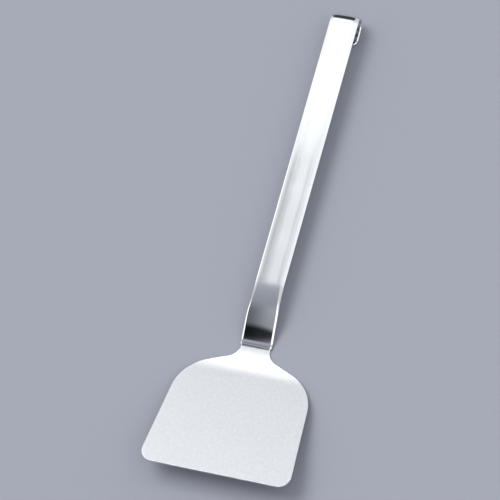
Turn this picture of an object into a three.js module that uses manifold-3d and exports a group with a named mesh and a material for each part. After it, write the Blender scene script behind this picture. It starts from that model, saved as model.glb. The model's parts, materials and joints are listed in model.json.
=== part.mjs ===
// Pancake turner. A thin satin blade runs back into a narrow tang, and the tang is lapped under the
// foot of a polished strap handle and held there by a row of spot welds. The far end of the strap
// curls under into a hook for hanging.
//
// Millimetres. X is the width, Y runs from the blade's front edge to the hook and Z is up. The turner
// lies as it does on a table: on its heel and its hook, with the front edge of the blade raised.
import * as THREE from "three";
import { mergeVertices } from "three/addons/utils/BufferGeometryUtils.js";
import Module from "manifold-3d";

const { degToRad, smoothstep } = THREE.MathUtils;

// Blade sheet
const bladeThickness = 1;
const bladeLength = 98.3; // front edge to the handle's foot, along the sheet
const frontWidth = 103; // between the side edges, both carried on to the front edge
const sideTaper = degToRad(4.6); // each side edge leans in by this much
const frontCornerRadius = 8.7;
const shoulderRadius = 30;
const shoulderSlope = degToRad(22); // how far the shoulders fall away from square
const neckWidth = 20.4;
const neckFilletRadius = 9.5;
const sheetEdgeEase = 0.25;

// Tang, the tongue of the blade that lies under the handle
const tangWidth = 17;
const tangCornerRadius = 5;
const tangStepLength = 3; // where the neck narrows to the tang
const tangEndMargin = 6.5; // from the last weld to the end of the tang

// Handle strap
const strapWidth = 20;
const strapThickness = 2.5;
const footWidth = 21.7;
const footLength = 20; // over which the foot keeps its width
const footFlareLength = 22; // over which the strap widens to its foot
const footCornerRadius = 2;
const footThickness = 1.2;
const footTaperLength = 32; // over which the strap is pressed thinner to its foot
const footNoseLength = 3; // over which the foot's top is rounded off to its end
const footNoseDrop = 0.3;
const crossCrownRadius = 100; // of the strap's top across its width
const upperRoundWidth = 4; // how far the rounded upper edges reach across the strap
const upperRoundDepth = 1.2; // on a strap of full thickness
const lowerRoundWidth = 1.3;
const lowerRoundDepth = 0.7;
const footRoundShare = 0.35; // of the roundings' width that is left on the foot
const footRoundLength = 45; // over which they widen again behind the foot
const hookTipRadius = 4;

// Bends of the lap face, which is the top of the blade and the underside of the strap
const heelRadius = 80;
const heelAngle = degToRad(15);
const landingLength = 3.8; // flat end of the strap's foot
const footBendRadius = 3;
const rampAngle = degToRad(33);
const rampLength = 6.5;
const crownRadius = 100;
const gripAngle = degToRad(12.6);
const gripLength = 193.7;
const hookInnerRadius = 5.3;
const hookAngle = degToRad(180);
const hookTongueLength = 10.8;

// Spot welds
const weldCount = 3;
const weldDiameter = 5;
const weldPitch = 8;
const weldSetback = 6; // from the foot bend to the first weld
const weldDepth = 0.6; // how far a weld reaches up into the strap
const weldDish = 0.12; // hollow left by the electrode in the tang's underside
const weldShoulder = 0.7; // share of the radius at which the nugget's top starts to slope down

// Clearances between pieces that touch
const lapClearance = 0.1;
const weldClearance = 0.15;

// Fineness of the facets
const chordError = 0.01;
const stationGap = 0.1; // stations of a strip that lie closer than this become one
const outlineDivisions = 7;
const noseSteps = 4;
const upperRoundSteps = 6;
const lowerRoundSteps = 3;
const crownFlatShare = 1 / 3; // of the strap's top, which stays flat along the middle
const roundLimit = 0.8; // most of the half width that a rounding takes where the tongue narrows
const weldSides = 24;

// The lap face as a strip that is bent in turn: each run has its length and the angle it turns through.
const turn = (radius, angle) => ({ length: radius * Math.abs(angle), angle });
const straight = (length) => ({ length, angle: 0 });
const heelLength = heelRadius * heelAngle;
const bladeRuns = [straight(bladeLength - heelLength), turn(heelRadius, heelAngle)];
const footRuns = [straight(landingLength), turn(footBendRadius, rampAngle - heelAngle)];
const gripRuns = [straight(rampLength), turn(crownRadius, gripAngle - rampAngle), straight(gripLength)];
const hookRuns = [turn(hookInnerRadius, -hookAngle), straight(hookTongueLength)];
const runs = [...bladeRuns, ...footRuns, ...gripRuns, ...hookRuns];

const totalLength = (list) => list.reduce((sum, run) => sum + run.length, 0);
const lapStart = bladeLength;
const footBendEnd = totalLength([...bladeRuns, ...footRuns]);
const hookStart = totalLength([...bladeRuns, ...footRuns, ...gripRuns]);
const strapEnd = totalLength(runs);
const firstWeld = footBendEnd + weldSetback;
const lastWeld = firstWeld + (weldCount - 1) * weldPitch;
const tangEnd = lastWeld + tangEndMargin;

// Place and slope of the lap face at a distance from the front edge.
function lapFaceAt(distance) {
  const place = { y: 0, z: 0, slope: 0 };
  let left = distance;
  for (const run of runs) {
    const step = Math.min(left, run.length);
    const bend = (run.angle * step) / run.length;
    const chord = bend === 0 ? step : (2 * step * Math.sin(bend / 2)) / bend;
    place.y += chord * Math.cos(place.slope + bend / 2);
    place.z += chord * Math.sin(place.slope + bend / 2);
    place.slope += bend;
    left -= step;
    if (left <= 0) break;
  }
  return place;
}

// Distances at which the bends need a cross-section, so that no facet strays from the curve.
function bendStations() {
  const stations = [0];
  for (const run of runs) {
    const start = stations.at(-1);
    const outerRadius = run.length / Math.abs(run.angle) + strapThickness;
    const facetAngle = 2 * Math.acos(1 - chordError / outerRadius);
    const count = run.angle === 0 ? 1 : Math.ceil(Math.abs(run.angle) / facetAngle);
    for (let i = 1; i <= count; i += 1) stations.push(start + (run.length * i) / count);
  }
  return stations;
}

// A half outline through the given corners, each rounded by its own radius. In an outline x is the
// distance along the strip and y is the half width.
function roundedOutline(corners) {
  const path = new THREE.Path().moveTo(corners[0].x, corners[0].y);
  for (let i = 1; i < corners.length - 1; i += 1) {
    const corner = new THREE.Vector2(corners[i].x, corners[i].y);
    const back = new THREE.Vector2().subVectors(corners[i - 1], corner).normalize();
    const ahead = new THREE.Vector2().subVectors(corners[i + 1], corner).normalize();
    const halfAngle = Math.acos(back.dot(ahead)) / 2;
    const { radius } = corners[i];
    const toCentre = back.clone().add(ahead).setLength(radius / Math.sin(halfAngle));
    const centre = corner.clone().add(toCentre);
    const reach = radius / Math.tan(halfAngle);
    const from = corner.clone().addScaledVector(back, reach).sub(centre);
    const to = corner.clone().addScaledVector(ahead, reach).sub(centre);
    path.absarc(centre.x, centre.y, radius, from.angle(), to.angle(), back.cross(ahead) > 0);
  }
  const last = corners.at(-1);
  return path.lineTo(last.x, last.y).getPoints(outlineDivisions);
}

// Half outline of the flat blade: front edge, side, shoulder, neck and tang.
function bladeOutline() {
  const neckReach = neckFilletRadius * Math.tan((Math.PI / 2 - shoulderSlope) / 2);
  const neck = { x: lapStart - neckReach, y: neckWidth / 2, radius: neckFilletRadius };
  const lean = Math.tan(sideTaper);
  const fall = Math.tan(shoulderSlope);
  const shoulderHalf = (frontWidth / 2 - lean * (neck.x + neck.y * fall)) / (1 - lean * fall);
  const shoulderX = neck.x - (shoulderHalf - neck.y) * fall;
  const tangStart = lapStart + tangStepLength;
  return roundedOutline([
    { x: 0, y: 0 },
    { x: 0, y: frontWidth / 2, radius: frontCornerRadius },
    { x: shoulderX, y: shoulderHalf, radius: shoulderRadius },
    neck,
    { x: lapStart + lapClearance, y: neckWidth / 2, radius: sheetEdgeEase },
    { x: tangStart, y: tangWidth / 2, radius: sheetEdgeEase },
    { x: tangEnd, y: tangWidth / 2, radius: tangCornerRadius },
    { x: tangEnd, y: 0 },
  ]);
}

// Half outline of the flat strap: wide foot, even grip and rounded tongue of the hook.
function strapOutline() {
  const footEnd = lapStart + footLength;
  const foot = roundedOutline([
    { x: lapStart, y: 0 },
    { x: lapStart, y: footWidth / 2, radius: footCornerRadius },
    { x: footEnd, y: footWidth / 2 },
  ]);
  const flare = new THREE.Path().moveTo(footEnd, footWidth / 2);
  const flareEnd = footEnd + footFlareLength;
  const flareMiddle = footEnd + footFlareLength / 2;
  flare.bezierCurveTo(flareMiddle, footWidth / 2, flareMiddle, strapWidth / 2, flareEnd, strapWidth / 2);
  const grip = roundedOutline([
    { x: flareEnd, y: strapWidth / 2 },
    { x: strapEnd, y: strapWidth / 2, radius: hookTipRadius },
    { x: strapEnd, y: 0 },
  ]);
  return [...foot, ...flare.getPoints(2 * outlineDivisions), ...grip];
}

// Half width of an outline at a distance along the strip.
function halfWidthAt(outline, distance) {
  const next = outline.findIndex((point) => point.x >= distance && point.y > 0);
  if (next <= 0) return outline[Math.max(next, 0)].y;
  const a = outline[next - 1];
  const b = outline[next];
  const share = b.x > a.x ? (distance - a.x) / (b.x - a.x) : 1;
  return a.y + (b.y - a.y) * share;
}

// Cross-section of the sheet: x across it and y above the lap face, with all four edges eased.
function sheetSection(halfWidth) {
  const inner = halfWidth - sheetEdgeEase;
  const right = [
    [inner, -bladeThickness],
    [halfWidth, sheetEdgeEase - bladeThickness],
    [halfWidth, -sheetEdgeEase],
    [inner, 0],
  ];
  return mirrored(right);
}

// The strap is pressed thinner towards its foot and rounded off at the foot's end.
function strapThicknessAt(distance) {
  const fromEnd = distance - lapStart;
  const pressed = footThickness + (strapThickness - footThickness) * smoothstep(fromEnd, 0, footTaperLength);
  return pressed - footNoseDrop * Math.max(0, 1 - fromEnd / footNoseLength) ** 2;
}

// How much of their full width the strap's rounded edges have at a distance.
const roundShareAt = (distance) =>
  footRoundShare + (1 - footRoundShare) * smoothstep(distance - lapStart - footLength, 0, footRoundLength);

// Cross-section of the strap: flat underside, rounded edges and a top that falls away to both sides.
// The roundings' depths go with the strap's thickness.
function strapSection(halfWidth, thickness, roundShare) {
  const squash = thickness / strapThickness;
  const lowerReach = Math.min(lowerRoundWidth * roundShare, roundLimit * halfWidth);
  const upperReach = Math.min(upperRoundWidth * roundShare, roundLimit * halfWidth);
  const right = [];
  for (let i = 0; i <= lowerRoundSteps; i += 1) {
    const angle = (Math.PI / 2) * (i / lowerRoundSteps);
    const x = halfWidth - lowerReach * (1 - Math.sin(angle));
    right.push([x, lowerRoundDepth * squash * (1 - Math.cos(angle))]);
  }
  for (let i = 0; i <= upperRoundSteps; i += 1) {
    const angle = (Math.PI / 2) * (i / upperRoundSteps);
    const x = halfWidth - upperReach * (1 - Math.cos(angle));
    right.push([x, thickness - upperRoundDepth * squash * (1 - Math.sin(angle))]);
  }
  right.push([(halfWidth - upperReach) * crownFlatShare, thickness]);
  const crowned = right.map(([x, height]) => {
    const fall = ((height / thickness) * x ** 2) / (2 * crossCrownRadius);
    return [x, lapClearance + height - fall];
  });
  return mirrored(crowned);
}

// A whole section from its right half, which is listed upwards.
function mirrored(right) {
  const left = right.toReversed().map(([x, y]) => [-x, y]);
  return [...right, ...left];
}

// A closed strip swept along the lap face through one cross-section for each station.
function sweptStrip(stations, sectionAt) {
  const positions = [];
  const indices = [];
  let count = 0;
  stations.forEach((distance, ring) => {
    const { y, z, slope } = lapFaceAt(distance);
    const section = sectionAt(distance);
    count = section.length;
    for (const [across, above] of section) {
      positions.push(across, y - above * Math.sin(slope), z + above * Math.cos(slope));
    }
    if (ring === 0) return;
    const here = ring * count;
    const before = here - count;
    for (let i = 0; i < count; i += 1) {
      const j = (i + 1) % count;
      indices.push(before + i, here + i, here + j);
      indices.push(before + i, here + j, before + j);
    }
  });
  const end = (stations.length - 1) * count;
  for (let i = 1; i < count - 1; i += 1) {
    indices.push(0, i, i + 1);
    indices.push(end, end + i + 1, end + i);
  }
  const geometry = new THREE.BufferGeometry();
  geometry.setAttribute("position", new THREE.Float32BufferAttribute(positions, 3));
  geometry.setIndex(indices);
  return geometry;
}

// Stations of a strip: the bends, the points of its outline and any others, in order and without near
// doubles.
function stationsOf(outline, others = []) {
  const first = outline[0].x;
  const last = outline.at(-1).x;
  const inside = bendStations().filter((distance) => distance > first && distance < last);
  const all = [...inside, ...others, ...outline.map((point) => point.x)].sort((a, b) => a - b);
  const kept = [first];
  for (const distance of all) {
    if (distance - kept.at(-1) > stationGap && last - distance > stationGap) kept.push(distance);
  }
  return [...kept, last];
}

const wasm = await Module();
wasm.setup();

function toSolid(geometry) {
  const bare = geometry.clone();
  bare.deleteAttribute("normal");
  bare.deleteAttribute("uv");
  const welded = mergeVertices(bare);
  const vertProperties = welded.getAttribute("position").array;
  const triVerts = new Uint32Array(welded.index.array);
  return new wasm.Manifold(new wasm.Mesh({ numProp: 3, vertProperties, triVerts }));
}

function toGeometry(solid) {
  const { vertProperties, triVerts } = solid.getMesh();
  const geometry = new THREE.BufferGeometry();
  geometry.setAttribute("position", new THREE.BufferAttribute(vertProperties, 3));
  geometry.setIndex(new THREE.BufferAttribute(triVerts, 1));
  geometry.computeVertexNormals();
  return geometry;
}

// A weld nugget about the Y axis, which stands square to the lap face. It fills the tang's thickness,
// reaches into the strap and has a shallow hollow below.
function weldGeometry() {
  const radius = weldDiameter / 2;
  const shoulder = weldShoulder * radius;
  const top = lapClearance + weldDepth;
  return new THREE.LatheGeometry(
    [
      new THREE.Vector2(0, weldDish - bladeThickness),
      new THREE.Vector2(shoulder, weldDish * (1 - weldShoulder ** 2) - bladeThickness),
      new THREE.Vector2(radius, -bladeThickness),
      new THREE.Vector2(radius, lapClearance),
      new THREE.Vector2(shoulder, top),
      new THREE.Vector2(0, top),
    ],
    weldSides,
  );
}

// The space that a nugget needs: through the tang and into the strap.
function weldPocketGeometry() {
  const radius = weldDiameter / 2 + weldClearance;
  const top = lapClearance + weldDepth + weldClearance;
  const height = top + 2 * bladeThickness;
  return new THREE.CylinderGeometry(radius, radius, height, weldSides).translate(0, top - height / 2, 0);
}

function placeOnLapFace(object, distance) {
  const { y, z, slope } = lapFaceAt(distance);
  object.position.set(0, y, z);
  object.rotation.x = slope + Math.PI / 2;
  object.updateMatrix();
}

function makeWelds(material) {
  const geometry = weldGeometry();
  return Array.from({ length: weldCount }, (_, i) => {
    const weld = new THREE.Mesh(geometry, material);
    weld.name = `spot_weld_${i + 1}`;
    placeOnLapFace(weld, firstWeld + i * weldPitch);
    return weld;
  });
}

function cutWeldPockets(geometry, welds) {
  let solid = toSolid(geometry);
  for (const weld of welds) {
    solid = solid.subtract(toSolid(weldPocketGeometry().applyMatrix4(weld.matrix)));
  }
  return toGeometry(solid);
}

function makeBlade(material, welds) {
  const outline = bladeOutline();
  const sheet = sweptStrip(stationsOf(outline), (distance) => sheetSection(halfWidthAt(outline, distance)));
  const blade = new THREE.Mesh(cutWeldPockets(sheet, welds), material);
  blade.name = "blade";
  return blade;
}

function makeStrap(material, welds) {
  const outline = strapOutline();
  const nose = Array.from({ length: noseSteps }, (_, i) => lapStart + (footNoseLength * (i + 1)) / noseSteps);
  const strip = sweptStrip(stationsOf(outline, nose), (distance) =>
    strapSection(halfWidthAt(outline, distance), strapThicknessAt(distance), roundShareAt(distance)),
  );
  const strap = new THREE.Mesh(cutWeldPockets(strip, welds), material);
  strap.name = "handle_strap";
  return strap;
}

// Slope of the line that touches the turner from below on both sides of a point along Y.
function restingSlope(meshes, balanceY) {
  const points = meshes.flatMap((mesh) => {
    const position = mesh.geometry.getAttribute("position");
    return Array.from({ length: position.count }, (_, i) => ({ y: position.getY(i), z: position.getZ(i) }));
  });
  let lowest = Infinity;
  let slope = 0;
  for (const heel of points.filter((point) => point.y < balanceY)) {
    for (const hook of points.filter((point) => point.y > balanceY)) {
      const rise = (hook.z - heel.z) / (hook.y - heel.y);
      const height = heel.z + rise * (balanceY - heel.y);
      if (height < lowest) {
        lowest = height;
        slope = Math.atan(rise);
      }
    }
  }
  return slope;
}

const satinSteel = new THREE.MeshStandardMaterial({ color: 0xdfe3e9, roughness: 0.45, metalness: 1 });
const polishedSteel = new THREE.MeshStandardMaterial({ color: 0xe4e6ea, roughness: 0.08, metalness: 1 });
const weldSteel = new THREE.MeshStandardMaterial({ color: 0xb4b5b8, roughness: 0.4, metalness: 1 });

const welds = makeWelds(weldSteel);
const blade = makeBlade(satinSteel, welds);
const strap = makeStrap(polishedSteel, welds);

// Lay the turner down on its heel and hook, with the middle of its footprint at the origin.
const turner = new THREE.Group();
turner.add(blade, strap, ...welds);
turner.rotation.x = -restingSlope([blade, strap], lapFaceAt((lapStart + hookStart) / 2).y);
const bounds = new THREE.Box3().setFromObject(turner, true);
const middle = bounds.getCenter(new THREE.Vector3());
turner.position.set(-middle.x, -middle.y, -bounds.min.z);

const part = new THREE.Group();
part.add(turner);
export default part;
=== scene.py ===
# The looks of the pancake turner: a satin blade, a mirror-polished strap handle with its hook, and the
# spot welds that hold the two together. Metres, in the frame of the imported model.
import json
import math

import bpy
import numpy as np
from mathutils import Matrix, Vector


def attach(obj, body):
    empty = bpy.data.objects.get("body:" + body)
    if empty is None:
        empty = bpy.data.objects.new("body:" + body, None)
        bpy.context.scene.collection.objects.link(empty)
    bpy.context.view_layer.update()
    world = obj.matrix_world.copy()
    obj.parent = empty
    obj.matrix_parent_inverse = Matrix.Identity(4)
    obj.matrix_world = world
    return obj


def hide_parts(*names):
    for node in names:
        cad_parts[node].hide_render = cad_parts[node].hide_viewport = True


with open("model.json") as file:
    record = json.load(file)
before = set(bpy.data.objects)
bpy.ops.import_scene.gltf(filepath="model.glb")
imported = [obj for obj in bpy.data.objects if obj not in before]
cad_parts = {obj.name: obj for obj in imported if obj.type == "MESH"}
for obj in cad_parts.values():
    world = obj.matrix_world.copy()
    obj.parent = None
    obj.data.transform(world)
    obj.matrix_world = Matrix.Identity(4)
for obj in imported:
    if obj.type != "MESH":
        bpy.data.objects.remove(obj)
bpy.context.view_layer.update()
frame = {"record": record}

MM = 0.001
UM = 0.000001

# Blade sheet
BLADE_THICKNESS = 1 * MM
BLADE_LENGTH = 98.3 * MM
FRONT_WIDTH = 103 * MM
SIDE_TAPER = math.radians(4.6)
FRONT_CORNER_RADIUS = 8.7 * MM
SHOULDER_RADIUS = 30 * MM
SHOULDER_SLOPE = math.radians(22)
NECK_WIDTH = 20.4 * MM
NECK_FILLET_RADIUS = 9.5 * MM
SHEET_EDGE_ROUND = 0.3 * MM
TANG_WIDTH = 17 * MM
TANG_CORNER_RADIUS = 5 * MM
TANG_STEP_LENGTH = 3 * MM
TANG_STEP_ROUND = 0.5 * MM
TANG_END_MARGIN = 6.5 * MM

# Handle strap
STRAP_WIDTH = 20 * MM
STRAP_THICKNESS = 2.5 * MM
FOOT_WIDTH = 21.7 * MM
FOOT_LENGTH = 20 * MM  # over which the foot keeps its width
FOOT_FLARE_LENGTH = 22 * MM
FOOT_THICKNESS = 1.2 * MM
FOOT_TAPER_LENGTH = 32 * MM
FOOT_CORNER_RADIUS = 2 * MM
FOOT_NOSE_LENGTH = 3 * MM
FOOT_NOSE_DROP = 0.3 * MM
FOOT_EDGE_LENGTH = 45 * MM  # over which the edges' rounding narrows towards the foot
FOOT_EDGE_SHARE = 0.35  # of the rounding's width that is left on the foot
CROSS_CROWN_RADIUS = 100 * MM  # of the strap's top across its width
UPPER_ROUND = (4 * MM, 1.2 * MM)  # width and depth of the upper edges' rounding
LOWER_ROUND = (1.3 * MM, 0.7 * MM)
HOOK_TIP_RADIUS = 4 * MM
LAP_CLEARANCE = 0.1 * MM

# Bends of the lap face, on which the blade's top and the strap's underside meet
HEEL_RADIUS = 80 * MM
HEEL_ANGLE = math.radians(15)
LANDING_LENGTH = 3.8 * MM
FOOT_BEND_RADIUS = 3 * MM
RAMP_ANGLE = math.radians(33)
RAMP_LENGTH = 6.5 * MM
CROWN_RADIUS = 100 * MM
GRIP_ANGLE = math.radians(12.6)
GRIP_LENGTH = 193.7 * MM
HOOK_INNER_RADIUS = 5.3 * MM
HOOK_ANGLE = math.radians(180)
HOOK_TONGUE_LENGTH = 10.8 * MM

# Spot welds
WELD_COUNT = 3
WELD_RADIUS = 2.5 * MM
WELD_PITCH = 8 * MM
WELD_SETBACK = 6 * MM  # of the first weld behind the foot's bend
WELD_DISH = 0.12 * MM
WELD_RIM_WIDTH = 0.5 * MM
WELD_RIM_HEIGHT = 0.05 * MM
WELD_SKIN = 0.06 * MM  # by which the tang's hollow is deeper than the mark's dish

# Fineness of the meshes
ROW_PITCH = 1.5 * MM
ROW_ANGLE = math.radians(2.5)
LEAST_ROWS = 10  # in each run
LEAST_ROW_PITCH = 0.02 * MM
ARC_STEPS = 16
FINE_ARC_STEPS = 400  # of the outline on which the rows' ends lie
ROUND_STEPS = 14
FLAT_BORDER = 0.15 * MM  # strip of flat face beside a rounded edge, which keeps the face's shading flat
BLADE_COLUMNS = 48
STRAP_COLUMNS = 12
WELD_SIDES = 64


def turn(radius, angle):
    """A bend as a run: its length and its angle."""
    return radius * abs(angle), angle


HEEL = turn(HEEL_RADIUS, HEEL_ANGLE)
FOOT_BEND = turn(FOOT_BEND_RADIUS, RAMP_ANGLE - HEEL_ANGLE)
RUNS = [  # lengths and angles from the blade's front edge to the hook's tip
    (BLADE_LENGTH - HEEL[0], 0),
    HEEL,
    (LANDING_LENGTH, 0),
    FOOT_BEND,
    (RAMP_LENGTH, 0),
    turn(CROWN_RADIUS, GRIP_ANGLE - RAMP_ANGLE),
    (GRIP_LENGTH, 0),
    turn(HOOK_INNER_RADIUS, -HOOK_ANGLE),
    (HOOK_TONGUE_LENGTH, 0),
]
STRAP_END = sum(length for length, _ in RUNS)
FIRST_WELD = BLADE_LENGTH + LANDING_LENGTH + FOOT_BEND[0] + WELD_SETBACK
WELDS = [FIRST_WELD + i * WELD_PITCH for i in range(WELD_COUNT)]
TANG_END = WELDS[-1] + TANG_END_MARGIN

# The flat underside's mount tells how the turner lies: its place along the sheet, its point and its normal.
UNDERSIDE_ALONG = 35 * MM
UNDERSIDE = next(mount for mount in frame["record"]["mounts"] if mount["name"] == "blade_underside")
TILT = math.atan2(UNDERSIDE["axis"][1], -UNDERSIDE["axis"][2])
LYING = Matrix.Rotation(TILT, 3, "X")
PLACE = Vector(UNDERSIDE["pos_m"]) - LYING @ Vector((0, UNDERSIDE_ALONG, -BLADE_THICKNESS))


def lap_face(along):
    """Places and slopes of the lap face at distances from the blade's front edge."""
    y, z, slope = np.zeros((3,) + along.shape)
    left = along.copy()
    for length, angle in RUNS:
        step = np.clip(left, 0, length)
        bend = angle * step / length
        chord = step * np.sinc(bend / (2 * math.pi))
        y += chord * np.cos(slope + bend / 2)
        z += chord * np.sin(slope + bend / 2)
        slope += bend
        left -= length
    return y, z, slope


def bent(strip):
    """Points of the frame from points of the flat strip: across it, along it and above the lap face."""
    across, along, above = strip.T
    y, z, slope = lap_face(along)
    flat = np.stack([across, y - above * np.sin(slope), z + above * np.cos(slope)], axis=1)
    return flat @ np.array(LYING).T + np.array(PLACE)


def bend_stations():
    """Distances at which the bends and the straight runs get a row."""
    stations = [0.0]
    for length, angle in RUNS:
        count = max(LEAST_ROWS, math.ceil(length / ROW_PITCH), math.ceil(abs(angle) / ROW_ANGLE))
        stations.extend(stations[-1] + length * np.arange(1, count + 1) / count)
    return np.array(stations)


def rounded_outline(corners, arc_steps):
    """Half outline through corners of (along, half width, radius), without its two ends on the axis."""
    points = []
    for before, corner, after in zip(corners, corners[1:], corners[2:]):
        at = Vector(corner[:2])
        radius = corner[2]
        back = (Vector(before[:2]) - at).normalized()
        ahead = (Vector(after[:2]) - at).normalized()
        half_angle = back.angle(ahead) / 2
        centre = at + (back + ahead).normalized() * radius / math.sin(half_angle)
        arm = at + back * radius / math.tan(half_angle) - centre
        sweep = math.copysign(math.pi - 2 * half_angle, back.cross(ahead))
        for step in range(arc_steps + 1):
            points.append(centre + Matrix.Rotation(-sweep * step / arc_steps, 2) @ arm)
    return np.array(points)


def blade_outline(arc_steps):
    """Front edge, side, shoulder, neck and tang of the flat blade."""
    neck_half = NECK_WIDTH / 2
    neck_along = BLADE_LENGTH - NECK_FILLET_RADIUS * math.tan((math.pi / 2 - SHOULDER_SLOPE) / 2)
    lean = math.tan(SIDE_TAPER)
    fall = math.tan(SHOULDER_SLOPE)
    shoulder_half = (FRONT_WIDTH / 2 - lean * (neck_along + neck_half * fall)) / (1 - lean * fall)
    shoulder_along = neck_along - (shoulder_half - neck_half) * fall
    return rounded_outline([
        (0, 0),
        (0, FRONT_WIDTH / 2, FRONT_CORNER_RADIUS),
        (shoulder_along, shoulder_half, SHOULDER_RADIUS),
        (neck_along, neck_half, NECK_FILLET_RADIUS),
        (BLADE_LENGTH + LAP_CLEARANCE, neck_half, TANG_STEP_ROUND),
        (BLADE_LENGTH + TANG_STEP_LENGTH, TANG_WIDTH / 2, TANG_STEP_ROUND),
        (TANG_END, TANG_WIDTH / 2, TANG_CORNER_RADIUS),
        (TANG_END, 0),
    ], arc_steps)


def eased(share):
    """A change from 0 to 1 that starts and ends gently."""
    share = np.clip(share, 0, 1)
    return share * share * (3 - 2 * share)


def strap_outline(arc_steps):
    """Foot, grip and hook tip of the flat strap, before the foot's flare."""
    return rounded_outline([
        (BLADE_LENGTH, 0),
        (BLADE_LENGTH, STRAP_WIDTH / 2, FOOT_CORNER_RADIUS),
        (STRAP_END, STRAP_WIDTH / 2, HOOK_TIP_RADIUS),
        (STRAP_END, 0),
    ], arc_steps)


def strap_flare(along):
    """How much each side of the strap widens towards its foot."""
    behind_foot = along - BLADE_LENGTH - FOOT_LENGTH
    return (FOOT_WIDTH - STRAP_WIDTH) / 2 * (1 - eased(behind_foot / FOOT_FLARE_LENGTH))


def strap_thickness(along):
    """Thickness of the strap, which is pressed thinner towards its foot and rounded off at the foot's end."""
    from_end = along - BLADE_LENGTH
    pressed = FOOT_THICKNESS + (STRAP_THICKNESS - FOOT_THICKNESS) * eased(from_end / FOOT_TAPER_LENGTH)
    return pressed - FOOT_NOSE_DROP * np.clip(1 - from_end / FOOT_NOSE_LENGTH, 0, 1) ** 2


def outline_rows(outline_of, flare=np.zeros_like):
    """Places along the strip, half widths and outward normals of the rows of an outline."""
    outline = outline_of(ARC_STEPS)
    fine = outline_of(FINE_ARC_STEPS)
    first, last = outline[0][0], outline[-1][0]
    stations = bend_stations()
    inside = stations[(stations > first) & (stations < last)]
    wanted = np.unique(np.concatenate([inside, outline[:, 0]]))
    kept = [first]
    for along in wanted:
        if along - kept[-1] > LEAST_ROW_PITCH and last - along > LEAST_ROW_PITCH:
            kept.append(along)
    along = np.array(kept + [last])
    half = np.interp(along, fine[:, 0], fine[:, 1])
    half[0] = outline[0][1]
    half[-1] = outline[-1][1]
    half += flare(along)
    step_along, step_half = np.gradient(along), np.gradient(half)
    normals = np.stack([-step_half, step_along]) / np.hypot(step_along, step_half)
    normals[:, 0] = (-1, 0)
    normals[:, -1] = (1, 0)
    return along, half, normals


def quarter_round(width, depth):
    """Insets and drops of a rounded edge, from the face down to the side."""
    angles = np.linspace(0, math.pi / 2, ROUND_STEPS + 1)
    return [(width * (1 - math.sin(a)), depth * (1 - math.cos(a))) for a in angles]


def sheet_edge(along):
    """Edge of the blade from its top face to its underside: insets and heights, one array for each row."""
    even = np.ones_like(along)
    rounding = quarter_round(SHEET_EDGE_ROUND, SHEET_EDGE_ROUND)
    border = SHEET_EDGE_ROUND + FLAT_BORDER
    upper = [(border * even, 0 * even)] + [(i * even, -d * even) for i, d in rounding]
    lower = [(inset, -BLADE_THICKNESS - height) for inset, height in reversed(upper)]
    return upper + lower


def strap_edge(along):
    """Edge of the strap from its top face to its underside. Its depth goes with the strap's thickness."""
    thickness = strap_thickness(along)
    squash = thickness / STRAP_THICKNESS
    behind_foot = along - BLADE_LENGTH - FOOT_LENGTH
    narrow = FOOT_EDGE_SHARE + (1 - FOOT_EDGE_SHARE) * eased(behind_foot / FOOT_EDGE_LENGTH)
    top = LAP_CLEARANCE + thickness
    base = LAP_CLEARANCE * np.ones_like(along)
    upper = [(i * narrow, top - d * squash) for i, d in quarter_round(*UPPER_ROUND)]
    lower = [(i * narrow, base + d * squash) for i, d in quarter_round(*LOWER_ROUND)]
    first = (upper[0][0] + FLAT_BORDER, top)
    last = (lower[0][0] + FLAT_BORDER, base)
    return [first] + upper + lower[::-1] + [last]


def strap_crown(strip):
    """Lets the strap's top fall away to both sides, and its underside stay flat."""
    across, along, above = strip.T
    share = (above - LAP_CLEARANCE) / strap_thickness(along)
    above -= share * across**2 / (2 * CROSS_CROWN_RADIUS)


def new_piece(name, strip, faces, rim, material):
    """A mesh bent from the flat strip. Its strip coordinates and its rim stay on it for the material."""
    mesh = bpy.data.meshes.new(name)
    mesh.from_pydata(bent(strip).tolist(), [], faces)
    mesh.attributes.new("strip", "FLOAT_VECTOR", "POINT").data.foreach_set("vector", strip.ravel())
    mesh.attributes.new("rim", "FLOAT", "POINT").data.foreach_set("value", rim)
    mesh.shade_smooth()
    mesh.materials.append(material)
    piece = bpy.data.objects.new(name, mesh)
    bpy.context.scene.collection.objects.link(piece)
    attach(piece, "root")
    return piece


def grid_border(count, columns):
    """Numbers of the outermost points of a grid, once around it. Its points are numbered row by row."""
    width = columns + 1
    last_row = (count - 1) * width
    front = list(range(columns))
    right = [row * width + columns for row in range(count - 1)]
    back = [last_row + column for column in range(columns, 0, -1)]
    left = [row * width for row in range(count - 1, 0, -1)]
    return np.array(front + right + back + left)


def plate_faces(border, count, columns, loops):
    """Faces of a plate: the grid of its top, the grid of its underside and the bands down its edge."""
    width = columns + 1
    size = count * width
    faces = []
    for row in range(count - 1):
        for column in range(columns):
            a = row * width + column
            b = a + width
            faces.append((a, a + 1, b + 1, b))
            faces.append((size + a, size + b, size + b + 1, size + a + 1))
    around = np.arange(len(border))
    middle = [2 * size + loop * len(border) + around for loop in range(loops)]
    rings = [border, *middle, size + border]
    for upper, lower in zip(rings, rings[1:]):
        band = np.stack([upper, lower, np.roll(lower, -1), np.roll(upper, -1)], axis=1)
        faces.extend(band.tolist())
    return faces


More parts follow.
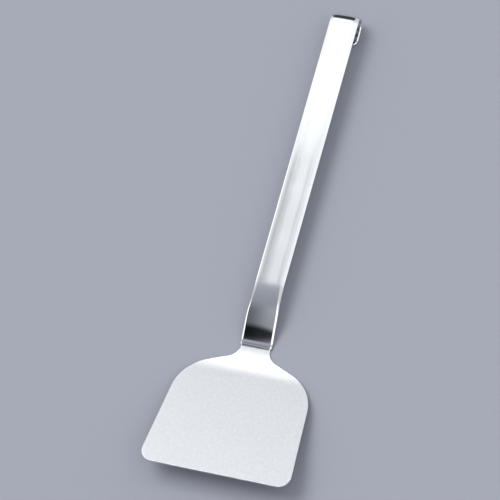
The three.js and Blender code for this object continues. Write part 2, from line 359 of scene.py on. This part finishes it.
def plate(name, rows, edge, columns, material, relief):
    """A closed plate: a grid for its top, a grid for its underside and loops down its edge."""
    along, half, normals = rows
    everywhere = np.arange(len(along) * (columns + 1))
    grid_row, grid_column = np.divmod(everywhere, columns + 1)
    spread = np.linspace(-1, 1, columns + 1)

    def placed(index, inset, above):
        row = grid_row[index]
        across = spread[grid_column[index]] * (half - normals[1] * inset)[row]
        return np.stack([across, (along - normals[0] * inset)[row], above[row]], axis=1)

    top, *edge_steps, underside = edge(along)
    border = grid_border(len(along), columns)
    loops = [placed(border, *step) for step in edge_steps]
    strip = np.concatenate([placed(everywhere, *top), placed(everywhere, *underside), *loops])
    relief(strip)
    rim = np.ones(len(strip))
    rim[:2 * len(everywhere)] = 0
    faces = plate_faces(border, len(along), columns, len(loops))
    return new_piece(name, strip, faces, rim, material)


def weld_dents(strip):
    """Hollows that the welding electrode left in the tang's underside."""
    across, along, above = strip.T
    inner = WELD_RADIUS - WELD_RIM_WIDTH / 2
    underside = above <= -BLADE_THICKNESS
    for weld in WELDS:
        share = np.hypot(across, along - weld) / inner
        above += underside * (WELD_DISH + WELD_SKIN) * np.clip(1 - share**2, 0, None)


def weld_profile():
    """Radius and height over the tang's underside of a weld mark: dished floor, low rim and hidden back."""
    inner = WELD_RADIUS - WELD_RIM_WIDTH
    profile = []
    for share in np.linspace(0, 1, ROUND_STEPS, endpoint=False):
        profile.append((inner * share, WELD_DISH * (1 - share**2)))
    for share in np.linspace(0, 1, ROUND_STEPS + 1):
        profile.append((inner + WELD_RIM_WIDTH * share, -WELD_RIM_HEIGHT * math.sin(math.pi * share)))
    profile.append((inner, WELD_DISH + 2 * WELD_SKIN))
    profile.append((0, WELD_DISH + 2 * WELD_SKIN))
    return profile


def weld_mark(number, along, material):
    """One weld mark, turned about a line square to the tang."""
    profile = weld_profile()
    strip = []
    for radius, rise in profile:
        for side in range(WELD_SIDES if radius else 1):
            angle = 2 * math.pi * side / WELD_SIDES
            strip.append((radius * math.cos(angle), along + radius * math.sin(angle), rise - BLADE_THICKNESS))
    rings = len(profile) - 2
    last = len(strip) - 1
    faces = []
    for side in range(WELD_SIDES):
        after = (side + 1) % WELD_SIDES
        faces.append((0, 1 + after, 1 + side))
        for ring in range(rings - 1):
            a, b = 1 + ring * WELD_SIDES, 1 + (ring + 1) * WELD_SIDES
            faces.append((a + side, a + after, b + after, b + side))
        final = 1 + (rings - 1) * WELD_SIDES
        faces.append((final + side, final + after, last))
    rim = np.zeros(len(strip))
    return new_piece(f"weld_mark_{number}", np.array(strip), faces, rim, material)


class Shader:
    """A node tree with short calls that add its nodes and join them."""

    def __init__(self, owner):
        owner.use_nodes = True
        self.tree = owner.node_tree
        self.tree.nodes.clear()

    def add(self, kind, inputs, **settings):
        node = self.tree.nodes.new(kind)
        for name, value in settings.items():
            setattr(node, name, value)
        for key, value in inputs.items():
            if isinstance(value, bpy.types.NodeSocket):
                self.tree.links.new(value, node.inputs[key])
            else:
                node.inputs[key].default_value = value
        return node

    def attribute(self, name):
        return self.add("ShaderNodeAttribute", {}, attribute_name=name)

    def strip(self, across, along, above):
        """Strip coordinates times the number of features in a metre each way."""
        vector = self.attribute("strip").outputs["Vector"]
        return self.vector_math("MULTIPLY", vector, (across, along, above))

    def noise(self, across, along, above, detail):
        """Soft random spots, with the number of them in a metre each way."""
        inputs = {"Vector": self.strip(across, along, above), "Scale": 1.0, "Detail": detail}
        return self.add("ShaderNodeTexNoise", inputs).outputs["Fac"]

    def ranged(self, value, low, high, to_low, to_high):
        """A value carried from one range to another with soft ends."""
        inputs = {"Value": value, "From Min": low, "From Max": high, "To Min": to_low, "To Max": to_high}
        return self.add("ShaderNodeMapRange", inputs, interpolation_type="SMOOTHSTEP").outputs["Result"]

    def window(self, value, start, full, fading, end):
        """1 between two places and 0 outside, with soft edges."""
        rising = self.ranged(value, start, full, 0.0, 1.0)
        falling = self.ranged(value, fading, end, 1.0, 0.0)
        return self.math("MULTIPLY", rising, falling)

    def within(self, window, share):
        """A share that holds inside a window and becomes 1 outside it."""
        change = self.math("SUBTRACT", share, 1.0)
        return self.math("ADD", self.math("MULTIPLY", change, window), 1.0)

    def product(self, *factors):
        result = factors[0]
        for factor in factors[1:]:
            result = self.math("MULTIPLY", result, factor)
        return result

    def vector_math(self, operation, a, b):
        return self.add("ShaderNodeVectorMath", {0: a, 1: b}, operation=operation).outputs["Vector"]

    def math(self, operation, a, b):
        return self.add("ShaderNodeMath", {0: a, 1: b}, operation=operation).outputs["Value"]

    def ramp(self, value, *stops):
        node = self.add("ShaderNodeValToRGB", {"Fac": value})
        elements = node.color_ramp.elements
        while len(elements) < len(stops):
            elements.new(1.0)
        for element, (position, colour) in zip(elements, stops):
            element.position = position
            element.color = (*colour, 1)
        return node.outputs["Color"]

    def axis_ramp(self, value, stops):
        """A ramp over places from -1 to 1."""
        share = self.add("ShaderNodeMapRange", {"Value": value, "From Min": -1.0}).outputs["Result"]
        return self.ramp(share, *[((place + 1) / 2, colour) for place, colour in stops])

    def bump(self, height, distance, normal=None):
        inputs = {"Height": height, "Distance": distance, "Strength": 1.0}
        if normal:
            inputs["Normal"] = normal
        return self.add("ShaderNodeBump", inputs).outputs["Normal"]

    def metal(self, colour, roughness, normal):
        inputs = {"Base Color": colour, "Metallic": 1.0, "Roughness": roughness, "Normal": normal}
        surface = self.add("ShaderNodeBsdfPrincipled", inputs).outputs["BSDF"]
        self.add("ShaderNodeOutputMaterial", {"Surface": surface})


def polished_steel():
    """Mirror polish: faint lines along the strap, soft smears, a few hairlines and a slight waviness."""
    material = bpy.data.materials.new("polished_steel")
    shader = Shader(material)
    lines = shader.noise(1800, 25, 1800, detail=3.0)
    smears = shader.noise(70, 45, 70, detail=4.0)
    hairlines = shader.noise(6000, 15, 6000, detail=0.0)
    waves = shader.noise(75, 40, 75, detail=0.0)
    colour = shader.ramp(smears, (0.3, (0.80, 0.81, 0.83)), (0.7, (0.84, 0.85, 0.87)))
    fine = shader.ranged(lines, 0.3, 0.7, 0.03, 0.05)
    hazed = shader.ranged(smears, 0.5, 0.75, 0.0, 0.03)
    scratched = shader.ranged(hairlines, 0.74, 0.80, 0.0, 0.08)
    roughness = shader.math("ADD", shader.math("ADD", fine, hazed), scratched)
    wavy = shader.bump(waves, 60 * UM)
    normal = shader.bump(lines, 0.3 * UM, wavy)
    shader.metal(colour, roughness, normal)
    return material


def satin_steel():
    """Fine satin: mottled blasted grain with a light brushing along the blade, and edges rubbed brighter."""
    material = bpy.data.materials.new("satin_steel")
    shader = Shader(material)
    grain = shader.noise(2600, 2600, 2600, detail=2.0)
    brushing = shader.noise(3200, 140, 3200, detail=2.0)
    clouds = shader.noise(40, 30, 40, detail=3.0)
    mottle = shader.noise(520, 420, 520, detail=3.0)
    colour = shader.ramp(mottle, (0.3, (0.725, 0.74, 0.76)), (0.7, (0.79, 0.805, 0.825)))
    satin = shader.ranged(grain, 0.3, 0.7, 0.32, 0.40)
    uneven = shader.ranged(clouds, 0.35, 0.65, -0.01, 0.01)
    rubbed = shader.math("MULTIPLY", shader.attribute("rim").outputs["Fac"], -0.2)
    roughness = shader.math("ADD", shader.math("ADD", satin, uneven), rubbed)
    normal = shader.bump(brushing, 2 * UM, shader.bump(grain, 4 * UM))
    shader.metal(colour, roughness, normal)
    return material


def weld_steel():
    """Dull weld metal with a mottled heat tint."""
    material = bpy.data.materials.new("weld_steel")
    shader = Shader(material)
    mottle = shader.noise(900, 900, 900, detail=4.0)
    pits = shader.noise(4000, 4000, 4000, detail=2.0)
    straw, plain, blue = (0.52, 0.44, 0.32), (0.46, 0.46, 0.47), (0.36, 0.38, 0.45)
    colour = shader.ramp(mottle, (0.3, blue), (0.5, plain), (0.7, straw))
    roughness = shader.ranged(mottle, 0.3, 0.7, 0.35, 0.55)
    shader.metal(colour, roughness, shader.bump(pits, 8 * UM))
    return material


FLOOR_SIZE = 8
FLOOR_DROP = 0.1 * MM
FLOOR_COLOUR = (0.30, 0.315, 0.365, 1)


def make_floor():
    """A plain matt floor just below the turner."""
    half = FLOOR_SIZE / 2
    corners = [(-half, -half), (half, -half), (half, half), (-half, half)]
    mesh = bpy.data.meshes.new("floor")
    mesh.from_pydata([(x, y, -FLOOR_DROP) for x, y in corners], [], [(0, 1, 2, 3)])
    material = bpy.data.materials.new("floor")
    shader = Shader(material)
    surface = shader.add("ShaderNodeBsdfDiffuse", {"Color": FLOOR_COLOUR}).outputs["BSDF"]
    shader.add("ShaderNodeOutputMaterial", {"Surface": surface})
    mesh.materials.append(material)
    floor = bpy.data.objects.new("floor", mesh)
    bpy.context.scene.collection.objects.link(floor)


# Light of the studio dome, as radiances. A place on the dome is the X, Y or Z of its direction. Edges are the
# places where a light or a flag starts, is full, starts to fade and ends.
DOME_LEVEL = 1.2
FRONT_TO_BACK = (  # shares of the dome's level, by Y
    (-1.0, (0.25, 0.26, 0.28)),
    (-0.39, (0.20, 0.21, 0.23)),
    (0.04, (0.27, 0.285, 0.32)),
    (0.17, (0.31, 0.33, 0.37)),
    (0.225, (0.38, 0.395, 0.43)),
    (0.28, (0.69, 0.705, 0.73)),
    (0.343, (0.78, 0.80, 0.82)),
    (0.364, (0.86, 0.88, 0.89)),
    (0.38, (1.06, 1.07, 1.07)),
    (0.44, (0.78, 0.79, 0.80)),
    (0.59, (0.75, 0.77, 0.80)),
    (0.69, (0.56, 0.58, 0.61)),
    (0.76, (0.60, 0.615, 0.64)),
)
LEFT_TO_RIGHT = (  # shares of that light in its uneven part, by X
    (-0.90, 0.6),
    (-0.87, 1.7),
    (-0.80, 1.7),
    (-0.74, 1.0),
    (-0.57, 0.82),
    (-0.465, 0.69),
    (-0.36, 0.60),
    (-0.245, 1.0),
    (-0.17, 1.01),
    (-0.135, 0.79),
    (-0.10, 0.95),
    (0.06, 0.95),
    (0.19, 1.04),
    (0.36, 1.15),
)
UNEVEN_EDGES = (0.19, 0.31, 0.351, 0.373)  # by Y
SLANT_ACROSS = (-0.45, -0.05)  # stretch over which the light by the front flag grows to the right, by X
SLANT_SHARES = (0.52, 1.4)
SLANT_EDGES = (-0.62, -0.52, -0.22, 0.02)  # by Y
DOME_MIDDLE = -0.245  # X about which the left and the right of the dome lie
FLAG_SHADE = 0.07
FRONT_FLAG_EDGES = (-0.81, -0.61, -0.45, -0.38)  # by Y and the lean
FRONT_FLAG_LEAN = 0.15  # change of its Y with X
BACK_FLAG_EDGES = (0.70, 0.76, 0.98, 1.0)  # by Y
BACK_FLAG_ACROSS = (-0.62, -0.50, -0.05, 0.05)  # by X
SIDE_ASIDE = (0.20, 0.30)  # distances from the middle over which the side lights come up, by X
SIDE_RISE = (0.15, 0.80)  # heights over which they get stronger, by Z
SIDE_LIGHT = (0.40, 1.0)  # radiances at those heights
SIDES_FRONT_TO_BACK = (  # shares of the side lights, by Y
    (-0.62, 0.85),
    (-0.41, 1.6),
    (-0.05, 1.6),
    (0.08, 0.75),
    (0.29, 0.75),
    (0.336, 0.8),
)
BANK_LIGHT = 4.3
BANK_EDGES = (0.37, 0.41, 0.45, 0.58)  # by Y
BANK_ACROSS = (-0.56, -0.42, -0.18, -0.06)  # by X


def grey(stops):
    """Stops of a ramp with shares in place of colours."""
    return [(place, (share, share, share)) for place, share in stops]


def make_world():
    """A studio dome: soft bank at the back, lights at both sides, dark flags at the front and the back."""
    world = bpy.data.worlds.new("studio")
    bpy.context.scene.world = world
    shader = Shader(world)
    direction = shader.add("ShaderNodeTexCoord", {}).outputs["Generated"]
    x, y, z = shader.add("ShaderNodeSeparateXYZ", {"Vector": direction}).outputs
    from_middle = shader.math("SUBTRACT", x, DOME_MIDDLE)

    uneven = shader.within(shader.window(y, *UNEVEN_EDGES), shader.axis_ramp(x, grey(LEFT_TO_RIGHT)))
    slant = shader.within(shader.window(y, *SLANT_EDGES), shader.ranged(x, *SLANT_ACROSS, *SLANT_SHARES))
    leaning = shader.math("ADD", y, shader.math("MULTIPLY", from_middle, FRONT_FLAG_LEAN))
    front_flag = shader.within(shader.window(leaning, *FRONT_FLAG_EDGES), FLAG_SHADE)
    behind = shader.product(shader.window(x, *BACK_FLAG_ACROSS), shader.window(y, *BACK_FLAG_EDGES))
    back_flag = shader.within(behind, FLAG_SHADE)
    level = shader.product(uneven, slant, front_flag, back_flag, DOME_LEVEL)
    dome = shader.vector_math("MULTIPLY", shader.axis_ramp(y, FRONT_TO_BACK), level)

    aside = shader.ranged(shader.math("ABSOLUTE", from_middle, 0.0), *SIDE_ASIDE, 0.0, 1.0)
    rise = shader.ranged(z, *SIDE_RISE, *SIDE_LIGHT)
    sides = shader.product(aside, rise, shader.axis_ramp(y, grey(SIDES_FRONT_TO_BACK)))
    bank = shader.product(shader.window(x, *BANK_ACROSS), shader.window(y, *BANK_EDGES), BANK_LIGHT)
    lit = shader.vector_math("ADD", shader.vector_math("MAXIMUM", dome, sides), bank)
    background = shader.add("ShaderNodeBackground", {"Color": lit, "Strength": 1.0})
    shader.add("ShaderNodeOutputWorld", {"Surface": background.outputs["Background"]})


KEY_FROM = Vector((-0.47, 0.15, 0.87))  # direction of the lamp from the turner
KEY_STRENGTH = 1.55
KEY_WIDTH = math.radians(35)


def make_key():
    """A wide soft light from the left, which is kept out of the metal and gives the floor its shadow."""
    data = bpy.data.lights.new("key", "SUN")
    data.energy = KEY_STRENGTH
    data.angle = KEY_WIDTH
    key = bpy.data.objects.new("key", data)
    key.matrix_world = KEY_FROM.to_track_quat("Z", "Y").to_matrix().to_4x4()
    key.visible_glossy = False
    bpy.context.scene.collection.objects.link(key)


CAMERA_AIM = Vector((-20.15, -11.01, 8.98)) * MM
CAMERA_DISTANCE = 2.2
CAMERA_AZIMUTH = math.radians(34.568)
CAMERA_ELEVATION = math.radians(64.295)
CAMERA_ROLL = math.radians(-21.144)
CAMERA_SENSOR = 36  # millimetres, as the lens
CAMERA_LENS = 238.08


def make_camera():
    """A camera in the photograph's place. Azimuth 0 is in front of the blade."""
    level = math.cos(CAMERA_ELEVATION)
    right = math.sin(CAMERA_AZIMUTH) * level
    front = math.cos(CAMERA_AZIMUTH) * level
    back = Vector((right, -front, math.sin(CAMERA_ELEVATION)))
    data = bpy.data.cameras.new("camera")
    data.sensor_width = CAMERA_SENSOR
    data.lens = CAMERA_LENS
    camera = bpy.data.objects.new("camera", data)
    upright = (-back).to_track_quat("-Z", "Y").to_matrix()
    turned = upright @ Matrix.Rotation(CAMERA_ROLL, 3, "Z")
    camera.matrix_world = Matrix.Translation(CAMERA_AIM + back * CAMERA_DISTANCE) @ turned.to_4x4()
    bpy.context.scene.collection.objects.link(camera)
    bpy.context.scene.camera = camera


def make_turner():
    """Blade, strap and weld marks, each in the place of its node."""
    blade = plate("blade_sheet", outline_rows(blade_outline), sheet_edge, BLADE_COLUMNS,
                  satin_steel(), weld_dents)
    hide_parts("blade")
    strap = plate("strap", outline_rows(strap_outline, strap_flare), strap_edge, STRAP_COLUMNS,
                  polished_steel(), strap_crown)
    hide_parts("handle_strap")
    weld_metal = weld_steel()
    for number, along in enumerate(WELDS, 1):
        mark = weld_mark(number, along, weld_metal)
        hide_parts(f"spot_weld_{number}")


make_turner()
make_floor()
make_world()
make_key()
make_camera()
bpy.context.scene.view_settings.view_transform = "Standard"
